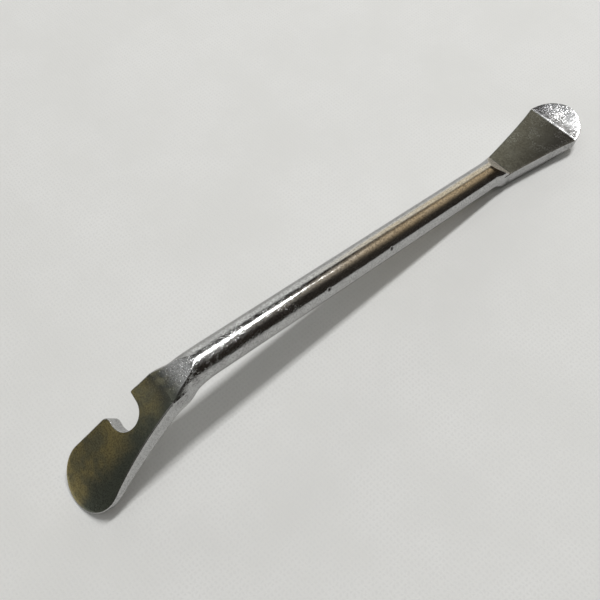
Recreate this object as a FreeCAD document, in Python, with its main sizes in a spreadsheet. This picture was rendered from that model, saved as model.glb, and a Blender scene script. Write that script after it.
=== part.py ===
"""Forged tyre lever: a round bar drawn out into a hooked blade and a flared spoon blade.

The lever is one steel forging.  It is modelled as the three lengths that it was forged in, which
meet face to face on the plain round bar and never move against each other:

    hook_blade    the wide bent blade with the spoke notch, and its neck
    shank         the plain round bar
    spoon_blade   the flared flat blade with the step and the upturned lip, and its neck

Frame: millimetres, +X along the lever from the hook blade to the spoon blade, +Z up, lying at
rest.  The origin is on the resting surface, under the middle of the bounding box.  The tip of the
hook blade and the flat heel of the spoon blade touch that surface.

Inside each body the sketches measure X from the tip of the hook blade, which is called a station.
"""
import FreeCAD, Part

import math
import os

import Sketcher
from FreeCAD import Placement, Rotation, Vector

# Driving dimensions, in millimetres or degrees: alias, value, meaning.
DIMENSIONS = [
    ("shank_diameter", 9.0, "round bar"),
    ("shank_run", 102.0, "plain bar between the two necks, along X"),
    ("bend_height", 22.9, "bar axis above the resting surface at the bend"),
    ("neck_land", 3.0, "full round at the bar's end of each neck, along X"),
    ("bend_setback", 10.0, "bend to the end of the hook neck, along X"),
    ("bend_width", 9.7, "across the bend, where the bar is squeezed wider"),
    ("crest_flat", 2.2, "half width of the flat left on top of the bend"),
    ("crest_relief", 0.2, "how far that flat is below the round bar"),
    ("crease_run", 7.0, "root of the hook blade to the bend, along X"),
    ("hook_run", 31.0, "tip to root of the hook blade, along X"),
    ("hook_width", 18.4, "across the shoulders of the hook blade"),
    ("hook_root_width", 10.3, "across the root of the hook blade"),
    ("hook_waist", 0.35, "how far each side of the hook blade is hollowed"),
    ("hook_root_top", 24.1, "top of the hook blade's root above the resting surface"),
    ("hook_root_thickness", 6.4, "upright thickness at the root of the hook blade"),
    ("hook_tip_thickness", 0.7, "thickness at the tip of the hook blade, square to its slope"),
    ("hook_arch", 1.4, "rise of the arched top over its chord"),
    ("bevel_run", 7.0, "tip to the end of the thin bevel underneath, along X"),
    ("bevel_height", 4.9, "underside above the resting surface at the end of that bevel"),
    ("notch_width", 9.0, "spoke notch"),
    ("notch_reach", 27.1, "tip of the hook blade to the notch's centre, along the underside"),
    ("notch_centre", 3.4, "centre plane of the lever to the notch's centre"),
    ("notch_lean", 8.0, "notch's opening turned towards the shank, degrees"),
    ("spoon_neck_run", 6.0, "end of the plain bar to the top of the step, along X"),
    ("step_run", 4.5, "length of the sloping step, along X"),
    ("heel_run", 12.0, "foot of the step to the end of the flat heel, along X"),
    ("spoon_run", 27.2, "foot of the step to the crease, along X"),
    ("spoon_height", 6.1, "flat face of the spoon blade above the resting surface"),
    ("spoon_width", 18.8, "across the crease of the spoon blade"),
    ("crease_thickness", 3.9, "spoon blade at the crease"),
    ("lip_run", 8.2, "crease to the tip of the lip, along X"),
    ("lip_rise", 2.3, "tip of the lip above the flat face"),
    ("lip_sag", 0.35, "hollow of the lip below its chord"),
    ("lip_thickness", 1.2, "upright thickness at the tip of the lip"),
]

# How far a cutting sketch reaches past the metal.
CLEAR = 12.0
# How far the hook blade's plate starts beyond its tip, before it is trimmed to its outline.
OVERRUN = 1.0
# How far a blade's plate stands out on each side, before it is trimmed to its outline.
TRIM_STOCK = 1.0
# Where the four arcs of a round section meet, in degrees from the top and from the bottom.
HOOK_NECK_CORNERS = (28, 50)
SPOON_NECK_CORNERS = (90, 50)


class Size:
    """A number together with the expression over the sheet's cells that gives it."""

    def __init__(self, value, text=None):
        self.value = float(value)
        self.text = text if text is not None else f"{float(value)}"

    def _join(self, other, sign, value):
        return Size(value, f"({self.text} {sign} {other.text})")

    def __add__(self, other):
        other = as_size(other)
        return self._join(other, "+", self.value + other.value)

    def __sub__(self, other):
        other = as_size(other)
        return self._join(other, "-", self.value - other.value)

    def __mul__(self, other):
        other = as_size(other)
        return self._join(other, "*", self.value * other.value)

    def __truediv__(self, other):
        other = as_size(other)
        return self._join(other, "/", self.value / other.value)

    def __rsub__(self, other):
        return as_size(other) - self

    def __neg__(self):
        return Size(-self.value, f"(-1 * {self.text})")

    def is_zero(self):
        return self.text == "0.0"


def as_size(value):
    return value if isinstance(value, Size) else Size(value)


def sine(angle):
    return Size(math.sin(math.radians(angle.value)), f"sin({angle.text})")


def cosine(angle):
    return Size(math.cos(math.radians(angle.value)), f"cos({angle.text})")


def arctangent(ratio):
    return Size(math.degrees(math.atan(ratio.value)), f"atan({ratio.text})")


def make_sheet(doc):
    """Writes the driving dimensions to the sheet and returns them as Sizes by alias."""
    sheet = doc.addObject("Spreadsheet::Sheet", "dims")
    sizes = {}
    for row, (alias, value, meaning) in enumerate(DIMENSIONS, start=1):
        sheet.set(f"A{row}", str(value))
        sheet.setAlias(f"A{row}", alias)
        sheet.set(f"B{row}", meaning)
        sizes[alias] = Size(value, f"dims.{alias}")
    doc.recompute()
    return sizes


class Lever:
    """Stations, heights and angles worked out from the driving dimensions."""

    def __init__(self, d):
        self.radius = d["shank_diameter"] / 2
        self.root = d["hook_run"]
        self.bend = self.root + d["crease_run"]
        self.shank_start = self.bend + d["bend_setback"]
        self.shank_end = self.shank_start + d["shank_run"]
        self.step_top = self.shank_end + d["spoon_neck_run"]
        self.step_foot = self.step_top + d["step_run"]
        self.heel_end = self.step_foot + d["heel_run"]
        self.crease = self.step_foot + d["spoon_run"]
        self.tip = self.crease + d["lip_run"]
        self.fall = (d["bend_height"] - self.radius) / (self.step_foot - self.bend)
        self.tilt = arctangent(self.fall)
        self.blade_slope = arctangent(d["hook_root_top"] / self.root)
        self.root_bottom = d["hook_root_top"] - d["hook_root_thickness"]
        self.under_slope = arctangent(
            (self.root_bottom - d["bevel_height"]) / (self.root - d["bevel_run"])
        )
        self.tip_overhang = d["hook_tip_thickness"] * sine(self.blade_slope)

    def axis_height(self, d, station):
        return d["bend_height"] - (station - self.bend) * self.fall


def make_body(doc, name, lever):
    body = doc.addObject("PartDesign::Body", name)
    body.Label = name
    middle = (lever.tip - lever.tip_overhang) / 2
    body.setExpression("Placement.Base.x", (-middle).text)
    return body


def make_sketch(body, name, role, base=(0, 0, 0), turn_axis=None, turn=None):
    """A sketch on one of the body's origin planes, offset and turned by bound values."""
    plane = next(f for f in body.Origin.OriginFeatures if f.Role == role)
    sketch = body.newObject("Sketcher::SketchObject", name)
    sketch.AttachmentSupport = [(plane, "")]
    sketch.MapMode = "FlatFace"
    base = [as_size(part) for part in base]
    angle = turn.value if turn else 0.0
    rotation = Rotation(turn_axis or Vector(1, 0, 0), angle)
    sketch.AttachmentOffset = Placement(Vector(*[part.value for part in base]), rotation)
    for letter, part in zip("xyz", base):
        if not part.is_zero():
            sketch.setExpression(f"AttachmentOffset.Base.{letter}", part.text)
    if turn:
        sketch.setExpression("AttachmentOffset.Rotation.Angle", turn.text)
    return sketch


def bind(sketch, constraint, size):
    index = sketch.addConstraint(constraint)
    sketch.setExpression(f"Constraints[{index}]", size.text)


def place_point(sketch, geometry, end, spot):
    """Fixes one end of a piece of geometry at a bound place."""
    across, up = [as_size(part) for part in spot]
    if across.is_zero():
        sketch.addConstraint(Sketcher.Constraint("PointOnObject", geometry, end, -2))
    else:
        bind(sketch, Sketcher.Constraint("DistanceX", -1, 1, geometry, end, across.value), across)
    if up.is_zero():
        sketch.addConstraint(Sketcher.Constraint("PointOnObject", geometry, end, -1))
    else:
        bind(sketch, Sketcher.Constraint("DistanceY", -1, 1, geometry, end, up.value), up)


def flat_vector(spot):
    return Vector(as_size(spot[0]).value, as_size(spot[1]).value, 0)


def draw_outline(sketch, corners, through=None):
    """A closed outline: straight from corner to corner, or an arc through a given middle point.

    through maps a corner's index to the middle point of the arc that leaves it.
    """
    through = through or {}
    ends = []
    for index, corner in enumerate(corners):
        start = flat_vector(corner)
        stop = flat_vector(corners[(index + 1) % len(corners)])
        if index in through:
            shape = Part.Arc(start, flat_vector(through[index]), stop)
        else:
            shape = Part.LineSegment(start, stop)
        piece = sketch.addGeometry(shape)
        leads = sketch.getPoint(piece, 1).distanceToPoint(start) < 1e-6
        ends.append((piece, 1 if leads else 2, 2 if leads else 1))
    for index, (piece, first, last) in enumerate(ends):
        following, its_first, _ = ends[(index + 1) % len(ends)]
        sketch.addConstraint(Sketcher.Constraint("Coincident", piece, last, following, its_first))
        place_point(sketch, piece, first, corners[index])
        if index in through:
            middle = sketch.addGeometry(Part.Point(flat_vector(through[index])), True)
            place_point(sketch, middle, 1, through[index])
            sketch.addConstraint(Sketcher.Constraint("PointOnObject", middle, 1, piece))


def draw_ring(sketch, outer, inner, through=None):
    """The area between a rectangle and an outline inside it, for trimming to that outline."""
    low, high = outer
    corners = [(low[0], low[1]), (high[0], low[1]), (high[0], high[1]), (low[0], high[1])]
    draw_outline(sketch, corners)
    draw_outline(sketch, inner, through)


def pad_both_ways(body, name, sketch, length):
    pad = body.newObject("PartDesign::Pad", name)
    pad.Profile = sketch
    pad.SideType = "Symmetric"
    pad.setExpression("Length", length.text)


def cut_both_ways(body, name, sketch):
    pocket = body.newObject("PartDesign::Pocket", name)
    pocket.Profile = sketch
    pocket.SideType = "Symmetric"
    pocket.Type = "ThroughAll"
    return pocket


def loft(body, name, sections):
    feature = body.newObject("PartDesign::AdditiveLoft", name)
    feature.Profile = sections[0]
    feature.Sections = sections[1:]
    feature.Ruled = False
    return feature


def round_section(body, name, d, lever, station, corner_angles):
    """A full round of the bar, square to its axis, in four arcs."""
    base = (0, lever.axis_height(d, station), station)
    sketch = make_sketch(body, name, "YZ_Plane", base, Vector(1, 0, 0), lever.tilt)
    radius = lever.radius
    from_top, from_bottom = [Size(angle) for angle in corner_angles]
    upper = radius * sine(from_top)
    upper_rise = radius * cosine(from_top)
    lower = radius * sine(from_bottom)
    lower_drop = radius * cosine(from_bottom)
    corners = [(-upper, upper_rise), (upper, upper_rise), (lower, -lower_drop), (-lower, -lower_drop)]
    half_turn = (Size(180) - from_top - from_bottom) / 2 + from_top
    flank = (radius * sine(half_turn), radius * cosine(half_turn))
    through = {0: (0, radius), 1: flank, 2: (0, -radius), 3: (-flank[0], flank[1])}
    draw_outline(sketch, corners, through)
    return sketch


def make_hook_blade(doc, d, lever):
    body = make_body(doc, "hook_blade", lever)
    half_root = d["hook_root_width"] / 2
    half_width = d["hook_width"] / 2

    side = make_sketch(body, "hook_side_profile", "XZ_Plane")
    rise = sine(lever.blade_slope)
    run = cosine(lever.blade_slope)
    tip_bottom = (-(run * OVERRUN), -(rise * OVERRUN))
    tip_top = (
        tip_bottom[0] - d["hook_tip_thickness"] * rise,
        tip_bottom[1] + d["hook_tip_thickness"] * run,
    )
    arch_middle = (
        (tip_top[0] + lever.root) / 2 - d["hook_arch"] * rise,
        (tip_top[1] + d["hook_root_top"]) / 2 + d["hook_arch"] * run,
    )
    draw_outline(
        side,
        [
            tip_top,
            (lever.root, d["hook_root_top"]),
            (lever.root, lever.root_bottom),
            (d["bevel_run"], d["bevel_height"]),
            (0, 0),
            tip_bottom,
        ],
        {0: arch_middle},
    )
    pad_both_ways(body, "hook_plate", side, d["hook_width"] + 2 * TRIM_STOCK)

    # The outline lies in a plane through the tip at the blade's slope, so its walls are square to it.
    along_root = lever.root / cosine(lever.blade_slope)
    plan = make_sketch(
        body, "hook_outline", "XY_Plane", turn_axis=Vector(0, 1, 0), turn=-lever.blade_slope
    )
    waist = ((along_root + half_width) / 2, (half_width + half_root) / 2 - d["hook_waist"])
    draw_ring(
        plan,
        ((Size(-CLEAR), -half_width - CLEAR), (along_root + CLEAR, half_width + CLEAR)),
        [
            (half_width, half_width),
            (half_width, -half_width),
            (along_root, -half_root),
            (along_root + CLEAR / 2, -half_root),
            (along_root + CLEAR / 2, half_root),
            (along_root, half_root),
        ],
        {0: (0, 0), 1: (waist[0], -waist[1]), 5: waist},
    )
    cut_both_ways(body, "hook_trim", plan)

    # The notch is cut square to the underside.
    notch = make_sketch(
        body, "spoke_notch_outline", "XY_Plane", turn_axis=Vector(0, 1, 0), turn=-lever.under_slope
    )
    lean_across = sine(d["notch_lean"])
    lean_out = cosine(d["notch_lean"])
    notch_radius = d["notch_width"] / 2

    def notch_point(across, out):
        return (
            d["notch_reach"] + across * lean_out + out * lean_across,
            d["notch_centre"] - across * lean_across + out * lean_out,
        )

    out = half_width
    draw_outline(
        notch,
        [
            notch_point(-notch_radius, Size(0)),
            notch_point(notch_radius, Size(0)),
            notch_point(notch_radius, out),
            notch_point(-notch_radius, out),
        ],
        {0: notch_point(Size(0), -notch_radius)},
    )
    cut_both_ways(body, "spoke_notch", notch)

    root = make_sketch(body, "hook_root_section", "YZ_Plane", (0, 0, lever.root))
    draw_outline(
        root,
        [
            (-half_root, d["hook_root_top"]),
            (half_root, d["hook_root_top"]),
            (half_root, lever.root_bottom),
            (-half_root, lever.root_bottom),
        ],
    )
    crest = make_sketch(body, "bend_section", "YZ_Plane", (0, 0, lever.bend))
    crest_top = d["bend_height"] + lever.radius - d["crest_relief"]
    belly = d["bend_height"] - lever.radius
    half_bend = d["bend_width"] / 2
    low_corner = Size(HOOK_NECK_CORNERS[1])
    low_side = half_bend * sine(low_corner)
    low_rise = d["bend_height"] - lever.radius * cosine(low_corner)
    draw_outline(
        crest,
        [
            (-d["crest_flat"], crest_top - d["crest_relief"]),
            (d["crest_flat"], crest_top - d["crest_relief"]),
            (low_side, low_rise),
            (-low_side, low_rise),
        ],
        {
            0: (0, crest_top),
            1: (half_bend, d["bend_height"]),
            2: (0, belly),
            3: (-half_bend, d["bend_height"]),
        },
    )
    neck_end = round_section(
        body, "hook_neck_round", d, lever, lever.shank_start - d["neck_land"], HOOK_NECK_CORNERS
    )
    bar_start = round_section(
        body, "hook_bar_round", d, lever, lever.shank_start, HOOK_NECK_CORNERS
    )
    body.Tip = loft(body, "hook_neck", [root, crest, neck_end, bar_start])
    return body


def make_shank(doc, d, lever):
    body = make_body(doc, "shank", lever)
    base = (0, lever.axis_height(d, lever.shank_start), lever.shank_start)
    section = make_sketch(body, "shank_section", "YZ_Plane", base, Vector(1, 0, 0), lever.tilt)
    circle = section.addGeometry(Part.Circle(Vector(0, 0, 0), Vector(0, 0, 1), lever.radius.value))
    section.addConstraint(Sketcher.Constraint("Coincident", circle, 3, -1, 1))
    bind(section, Sketcher.Constraint("Radius", circle, lever.radius.value), lever.radius)
    bar = body.newObject("PartDesign::Pad", "bar")
    bar.Profile = section
    bar.setExpression("Length", (d["shank_run"] / cosine(lever.tilt)).text)
    body.Tip = bar
    return body


def make_spoon_blade(doc, d, lever):
    body = make_body(doc, "spoon_blade", lever)
    half_width = d["spoon_width"] / 2

    side = make_sketch(body, "spoon_side_profile", "XZ_Plane")
    lip_height = d["spoon_height"] + d["lip_rise"]
    crease_bottom = d["spoon_height"] - d["crease_thickness"]
    lip_middle = (
        (lever.crease + lever.tip) / 2,
        (d["spoon_height"] + lip_height) / 2 - d["lip_sag"],
    )
    draw_outline(
        side,
        [
            (lever.step_foot, d["spoon_height"]),
            (lever.crease, d["spoon_height"]),
            (lever.tip, lip_height),
            (lever.tip, lip_height - d["lip_thickness"]),
            (lever.crease, crease_bottom),
            (lever.heel_end, 0),
            (lever.step_foot, 0),
        ],
        {1: lip_middle},
    )
    pad_both_ways(body, "spoon_plate", side, d["spoon_width"] + 2 * TRIM_STOCK)

    plan = make_sketch(body, "spoon_outline", "XY_Plane")
    draw_ring(
        plan,
        (
            (lever.step_foot - CLEAR, -half_width - CLEAR),
            (lever.tip + CLEAR, half_width + CLEAR),
        ),
        [
            (lever.crease, half_width),
            (lever.step_foot, lever.radius),
            (lever.step_foot - CLEAR / 2, lever.radius),
            (lever.step_foot - CLEAR / 2, -lever.radius),
            (lever.step_foot, -lever.radius),
            (lever.crease, -half_width),
        ],
        {5: (lever.tip, 0)},
    )
    cut_both_ways(body, "spoon_trim", plan)

    neck_start = round_section(
        body, "spoon_bar_round", d, lever, lever.shank_end, SPOON_NECK_CORNERS
    )
    neck_middle = round_section(
        body, "spoon_neck_round", d, lever, lever.shank_end + d["neck_land"], SPOON_NECK_CORNERS
    )
    foot = make_sketch(body, "step_foot_section", "YZ_Plane", (0, 0, lever.step_foot))
    draw_outline(
        foot,
        [
            (-lever.radius, lever.radius),
            (lever.radius, lever.radius),
            (lever.radius, 0),
            (-lever.radius, 0),
        ],
        {0: (0, d["shank_diameter"])},
    )
    loft(body, "spoon_neck", [neck_start, neck_middle, foot])

    step = make_sketch(body, "step_cut_profile", "XZ_Plane")
    bar_top = lever.axis_height(d, lever.step_top) + lever.radius / cosine(lever.tilt)
    draw_outline(
        step,
        [
            (lever.step_foot, d["spoon_height"]),
            (lever.step_top, bar_top),
            (lever.step_top, bar_top + CLEAR),
            (lever.step_foot + CLEAR, bar_top + CLEAR),
            (lever.step_foot + CLEAR, d["spoon_height"]),
        ],
    )
    body.Tip = cut_both_ways(body, "step_cut", step)
    return body


def failed_objects(doc):
    bad = []
    for item in doc.Objects:
        if "Invalid" in item.State or "Error" in item.State:
            bad.append(f"{item.Name}: {item.State}")
    return bad


def main():
    doc = FreeCAD.newDocument("tyre_lever")
    sizes = make_sheet(doc)
    lever = Lever(sizes)
    bodies = [make(doc, sizes, lever) for make in (make_hook_blade, make_shank, make_spoon_blade)]
    doc.recompute()
    problems = failed_objects(doc)
    for body in bodies:
        if body.Shape.isNull() or not body.Shape.isValid():
            problems.append(f"{body.Label}: shape is null or not valid")
    if problems:
        raise RuntimeError("; ".join(problems))
    os.makedirs("parts", exist_ok=True)
    for body in bodies:
        box = body.Shape.BoundBox
        print(
            f"{body.Label}: {len(body.Shape.Solids)} solid, volume {body.Shape.Volume:.1f},"
            f" x {box.XMin:.2f}..{box.XMax:.2f} y {box.YMin:.2f}..{box.YMax:.2f}"
            f" z {box.ZMin:.2f}..{box.ZMax:.2f}"
        )
        body.Shape.exportStep(f"parts/{body.Label}.step")


main()
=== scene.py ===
"""A plated steel tyre lever, lying on a pale cloth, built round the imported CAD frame.

Three closed meshes stand for the three CAD nodes: the hook blade with its neck, the round bar and
the spoon blade with its neck.  They meet on plain round sections of the bar.

Shapes are worked out in millimetres, in the lever's own stations: X from the hook blade's tip,
Y to the left and Z up from the surface it lies on.  They are moved to the row frame at the end.
"""

import math
import random

import bmesh
import bpy
import numpy as np
from mathutils import Euler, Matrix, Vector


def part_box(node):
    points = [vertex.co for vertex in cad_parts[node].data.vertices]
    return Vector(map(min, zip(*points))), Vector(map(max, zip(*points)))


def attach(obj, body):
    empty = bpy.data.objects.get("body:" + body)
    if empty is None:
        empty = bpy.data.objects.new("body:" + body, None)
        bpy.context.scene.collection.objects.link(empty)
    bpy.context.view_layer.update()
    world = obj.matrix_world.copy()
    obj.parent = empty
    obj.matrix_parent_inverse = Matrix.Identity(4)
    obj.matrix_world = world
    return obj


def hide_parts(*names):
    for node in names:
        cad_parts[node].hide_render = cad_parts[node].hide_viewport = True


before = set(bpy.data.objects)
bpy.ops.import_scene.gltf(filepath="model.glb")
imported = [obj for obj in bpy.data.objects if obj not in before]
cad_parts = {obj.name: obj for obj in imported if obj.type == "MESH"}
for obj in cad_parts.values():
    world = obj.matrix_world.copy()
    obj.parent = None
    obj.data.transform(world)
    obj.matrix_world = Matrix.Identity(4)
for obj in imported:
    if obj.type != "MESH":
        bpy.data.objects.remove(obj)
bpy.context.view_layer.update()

MM = 0.001

# The lever's driving sizes, in millimetres and degrees.
LEVER_LENGTH = 195.9
BAR_RADIUS = 4.5
BEND_STATION = 38.0
BEND_HEIGHT = 22.9
FOOT_STATION = 160.5
HOOK_SEAM = 48.0
SPOON_SEAM = 150.0

HOOK_ROOT_STATION = 31.0
HOOK_ROOT_TOP = 24.1
HOOK_TIP_RADIUS = 9.15
HOOK_TIP_THICKNESS = 0.7
HOOK_TIP_OVERHANG = 0.1
HOOK_ARCH = 1.4
HOOK_SHOULDER_SLOPE = 0.2
HOOK_ROOT_SLOPE = 0.09
HOOK_ROOT_HALF = 5.15
UNDERSIDE_ANGLE = 28.07
BEVEL_END = (8.53, -0.43)
UNDERSIDE_END = (35.34, -5.06)
BELLY_HEIGHT = 18.1
HOOK_DOME = 1.9
HOOK_CREST = 40.0
HOOK_DIP = 40.5
HOOK_CROWN_SLOPE = 0.3
HOOK_BELLY_SLOPE = 0.12
HOOK_BEND_HALF = 4.4
FACET_SLOPE = 0.333
FACET_TURN = 38.5
FACET_END = 46.5

# Stations over which the hook's neck narrows, widens to the bar, and turns round at its top and
# at its bottom.
NECK_NARROWS = (30, 36)
NECK_WIDENS = (37, 45.5)
NECK_TOP_TURNS = (28.5, 34.5)
NECK_BOTTOM_TURNS = (29, 45)

NOTCH_RADIUS = 4.5
NOTCH_REACH = 27.1
NOTCH_CENTRE = 3.4
NOTCH_LEAN = 8.0
NOTCH_LOWER_CORNER = 2.2
NOTCH_UPPER_CORNER = 0.5

# Rounding of edges: at the hook's tip, what is added by its root, and the least, round the notch
# and the spoon.  The notch's walls lie in the region given by NOTCH_ZONE, along and across.
TOP_ROUNDING = 0.26
TOP_ROUNDING_GAIN = 0.16
BOTTOM_ROUNDING = 0.3
BOTTOM_ROUNDING_GAIN = 0.5
LEAST_ROUNDING = 0.24
SPOON_BOTTOM_ROUNDING = 0.9
NOTCH_ZONE = ((21.7, 34.7), (-1.6, 6.4))

SPOON_HEIGHT = 6.1
SPOON_FOOT_HALF = 4.72
SPOON_HALF = 9.4
HEEL_END = 173.0
CREASE_STATION = 187.7
CREASE_THICKNESS = 3.9
LIP_RISE = 2.3
LIP_SAG = 0.35
LIP_THICKNESS = 1.2
STEP_TOP_STATION = 155.3
SPOON_SHOULDER = (187.0, 9.3)
SPOON_FOOT_SLOPE = 0.14
SPOON_SHOULDER_SLOPE = 0.23
CREASE_RIDGE = 0.12

# Dark nicks in the bar: station, and degrees round from its top.
NICKS = ((81.8, -57.5), (105.9, -60.0), (153.0, -62.0))
NICK_RADIUS = 0.75
NICK_DEPTH = 0.12
DINGS = 26
DING_SEED = 7

# Mesh counts: nodes across a blade, down each side of it, and round the bar.
ACROSS = 40
FILLET_TURNS = (22.5, 45.0, 67.5, 90.0)
WALL_NODES = 3
DOWN = 2 * len(FILLET_TURNS) + WALL_NODES
ROUND = 2 * (ACROSS + 1) + 2 * DOWN

FACET_ROWS = 18
LEAST_CUT = 0.004

# Half the turn, in degrees, of the arc that a grid's end row follows round a tip.
CORNER_TURN = 50.0
RIM_WEAR = 0.35

FALL = (BEND_HEIGHT - BAR_RADIUS) / (FOOT_STATION - BEND_STATION)
TILT = math.atan(FALL)
BLADE_SLOPE = math.atan(HOOK_ROOT_TOP / HOOK_ROOT_STATION)


def axis_height(station):
    return BEND_HEIGHT - (station - BEND_STATION) * FALL


def ease(low, high, value):
    """0 below low, 1 above high, smooth between."""
    t = np.clip((np.asarray(value, float) - low) / (high - low), 0.0, 1.0)
    return t * t * (3 - 2 * t)


def mix(a, b, t):
    return a + (b - a) * t


def unit(vectors):
    return vectors / np.linalg.norm(vectors, axis=-1, keepdims=True)


def hermite(p0, p1, slope0, slope1, count):
    """Points on the smooth curve from p0 to p1 with those end slopes, in a plane."""
    t = np.linspace(0, 1, count)
    run = p1[0] - p0[0]
    rise = (
        (2 * t**3 - 3 * t**2 + 1) * p0[1]
        + (t**3 - 2 * t**2 + t) * run * slope0
        + (3 * t**2 - 2 * t**3) * p1[1]
        + (t**3 - t**2) * run * slope1
    )
    return np.stack([p0[0] + run * t, rise], axis=1)


def along(points, fractions):
    """Points at those fractions of a polyline's length."""
    points = np.asarray(points, float)
    steps = np.linalg.norm(np.diff(points, axis=0), axis=1)
    travelled = np.concatenate([[0], np.cumsum(steps)]) / steps.sum()
    return np.stack([np.interp(fractions, travelled, column) for column in points.T], axis=1)


def relax(grid, fixed, plain_rounds=400, rounds=2200):
    """Spreads a grid's free nodes evenly between its fixed ones, without folding a cell.

    Each node first becomes the average of its four neighbours.  Then the neighbours are weighed by
    the size and skew of the cells (Winslow's equations), which unfolds the cells round a notch.
    """
    free = ~fixed[1:-1, 1:-1]
    for turn in range(plain_rounds + rounds):
        across_rows = grid[2:, 1:-1] + grid[:-2, 1:-1]
        along_rows = grid[1:-1, 2:] + grid[1:-1, :-2]
        if turn < plain_rounds:
            average = (across_rows + along_rows) / 4
        else:
            step_i = (grid[2:, 1:-1] - grid[:-2, 1:-1]) / 2
            step_j = (grid[1:-1, 2:] - grid[1:-1, :-2]) / 2
            twist = (grid[2:, 2:] - grid[2:, :-2] - grid[:-2, 2:] + grid[:-2, :-2]) / 4
            weight_i = (step_j**2).sum(-1, keepdims=True)
            weight_j = (step_i**2).sum(-1, keepdims=True)
            skew = (step_i * step_j).sum(-1, keepdims=True)
            average = weight_i * across_rows + weight_j * along_rows - 2 * skew * twist
            average /= np.maximum(2 * (weight_i + weight_j), 1e-12)
        grid[1:-1, 1:-1][free] = average[free]
    return grid


def first_guess(grid, fixed):
    """Straight rows between the two ends of each row, as a start for relax."""
    share = np.linspace(0, 1, grid.shape[1])[None, :, None]
    rows = mix(grid[:, :1], grid[:, -1:], share)
    grid[~fixed] = rows[~fixed]
    return grid


# ---------------------------------------------------------------- closed shells from plate grids


class Shell:
    """A top and a bottom grid of nodes, joined round their rim by strips of nodes."""

    def __init__(self, rows):
        self.top = np.zeros((rows, ACROSS + 1, 3))
        self.bottom = np.zeros((rows, ACROSS + 1, 3))
        self.gone = np.zeros((rows - 1, ACROSS), bool)
        self.wear = np.zeros((rows, ACROSS + 1))
        self.forged = np.zeros((rows, ACROSS + 1))
        self.bare_from = rows
        self.path = []
        self.strips = []

    def rim(self, node, top, bottom, inward_top, inward_bottom, up, radius_top, radius_bottom):
        """Rounds the rim at one node, between a top and a bottom point of a wall."""
        turns = np.radians(FILLET_TURNS)[:, None]
        over = top + radius_top * ((1 - np.sin(turns)) * inward_top - (1 - np.cos(turns)) * up)
        turns = turns[::-1]
        under = bottom + radius_bottom * (
            (1 - np.sin(turns)) * inward_bottom + (1 - np.cos(turns)) * up
        )
        share = (np.arange(WALL_NODES)[:, None] + 1) / (WALL_NODES + 1)
        wall = mix(over[-1], under[0], share)
        self.top[node] = top + radius_top * inward_top
        self.bottom[node] = bottom + radius_bottom * inward_bottom
        self.path.append(node)
        self.strips.append(np.concatenate([over, wall, under]))

    def faces(self):
        """Vertices, faces, masks and the loop round the seam end, which close_end closes by two
        rings and a fan.
        """
        rows, columns = self.top.shape[:2]
        used = np.ones((rows, columns), bool)
        for i in range(1, rows - 1):
            for j in range(columns):
                around = [
                    self.gone[a, b]
                    for a in (i - 1, i)
                    for b in (j - 1, j)
                    if 0 <= b < columns - 1
                ]
                used[i, j] = not all(around)
        number = -np.ones((rows, columns), int)
        number[used] = np.arange(used.sum())
        count = int(used.sum())
        vertices = [self.top[used], self.bottom[used]]
        under = number + count
        strip_start = 2 * count
        for strip in self.strips:
            vertices.append(strip)
        quads = []
        for i in range(rows - 1):
            for j in range(columns - 1):
                if self.gone[i, j]:
                    continue
                cell = [(i, j), (i, j + 1), (i + 1, j + 1), (i + 1, j)]
                quads.append([number[c] for c in cell])
                quads.append([under[c] for c in reversed(cell)])
        chains = []
        for place, node in enumerate(self.path):
            inner = [strip_start + place * DOWN + k for k in range(DOWN)]
            chains.append([number[node], *inner, under[node]])
        for one, two in zip(chains[:-1], chains[1:]):
            for k in range(DOWN + 1):
                quads.append([one[k], one[k + 1], two[k + 1], two[k]])
        last = rows - 1
        loop = list(number[last]) + chains[-1][1:-1]
        loop += list(under[last])[::-1] + chains[0][1:-1][::-1]
        turned = len(FILLET_TURNS)
        strip_wear = np.zeros(DOWN)
        strip_wear[:turned] = RIM_WEAR
        strip_wear[-turned:] = RIM_WEAR
        strips_wear = [strip_wear * (node[0] < self.bare_from) for node in self.path]
        wear = np.concatenate([self.wear[used], np.zeros(count), *strips_wear])
        return np.concatenate(vertices), quads, loop, {
            "edge_wear": wear,
            "forged": self.forged[used],
            "face": np.ones(count),
        }


def close_end(vertices, faces, loop):
    """Caps a loop of nodes with an inner ring and a fan."""
    ring = vertices[loop]
    centre = ring.mean(0)
    start = len(vertices)
    inner = mix(centre, ring, 0.5)
    vertices = np.concatenate([vertices, inner, centre[None]])
    size = len(loop)
    caps = []
    for k in range(size):
        after = (k + 1) % size
        caps.append([loop[k], loop[after], start + after, start + k])
        caps.append([start + k, start + after, start + size])
    return vertices, faces + caps


lever_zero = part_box("spoon_blade")[1].x / MM - LEVER_LENGTH


def make_object(name, vertices, faces, masks, sharp_angle=34.0):
    """A smooth-shaded closed mesh in the row frame, its sharp edges kept sharp."""
    placed = (np.asarray(vertices) + np.array([lever_zero, 0, 0])) * MM
    mesh = bpy.data.meshes.new(name)
    mesh.from_pydata([tuple(v) for v in placed], [], [list(map(int, f)) for f in faces])
    work = bmesh.new()
    work.from_mesh(mesh)
    bmesh.ops.recalc_face_normals(work, faces=work.faces)
    work.to_mesh(mesh)
    work.free()
    mesh.polygons.foreach_set("use_smooth", [True] * len(mesh.polygons))
    mesh.set_sharp_from_angle(angle=math.radians(sharp_angle))
    for mask in ("edge_wear", "forged", "face", "grime"):
        values = masks.get(mask, [])
        padded = np.zeros(len(vertices))
        padded[: len(values)] = values
        mesh.attributes.new(mask, "FLOAT", "POINT").data.foreach_set("value", padded)
    piece = bpy.data.objects.new(name, mesh)
    bpy.context.scene.collection.objects.link(piece)
    return piece


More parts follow.
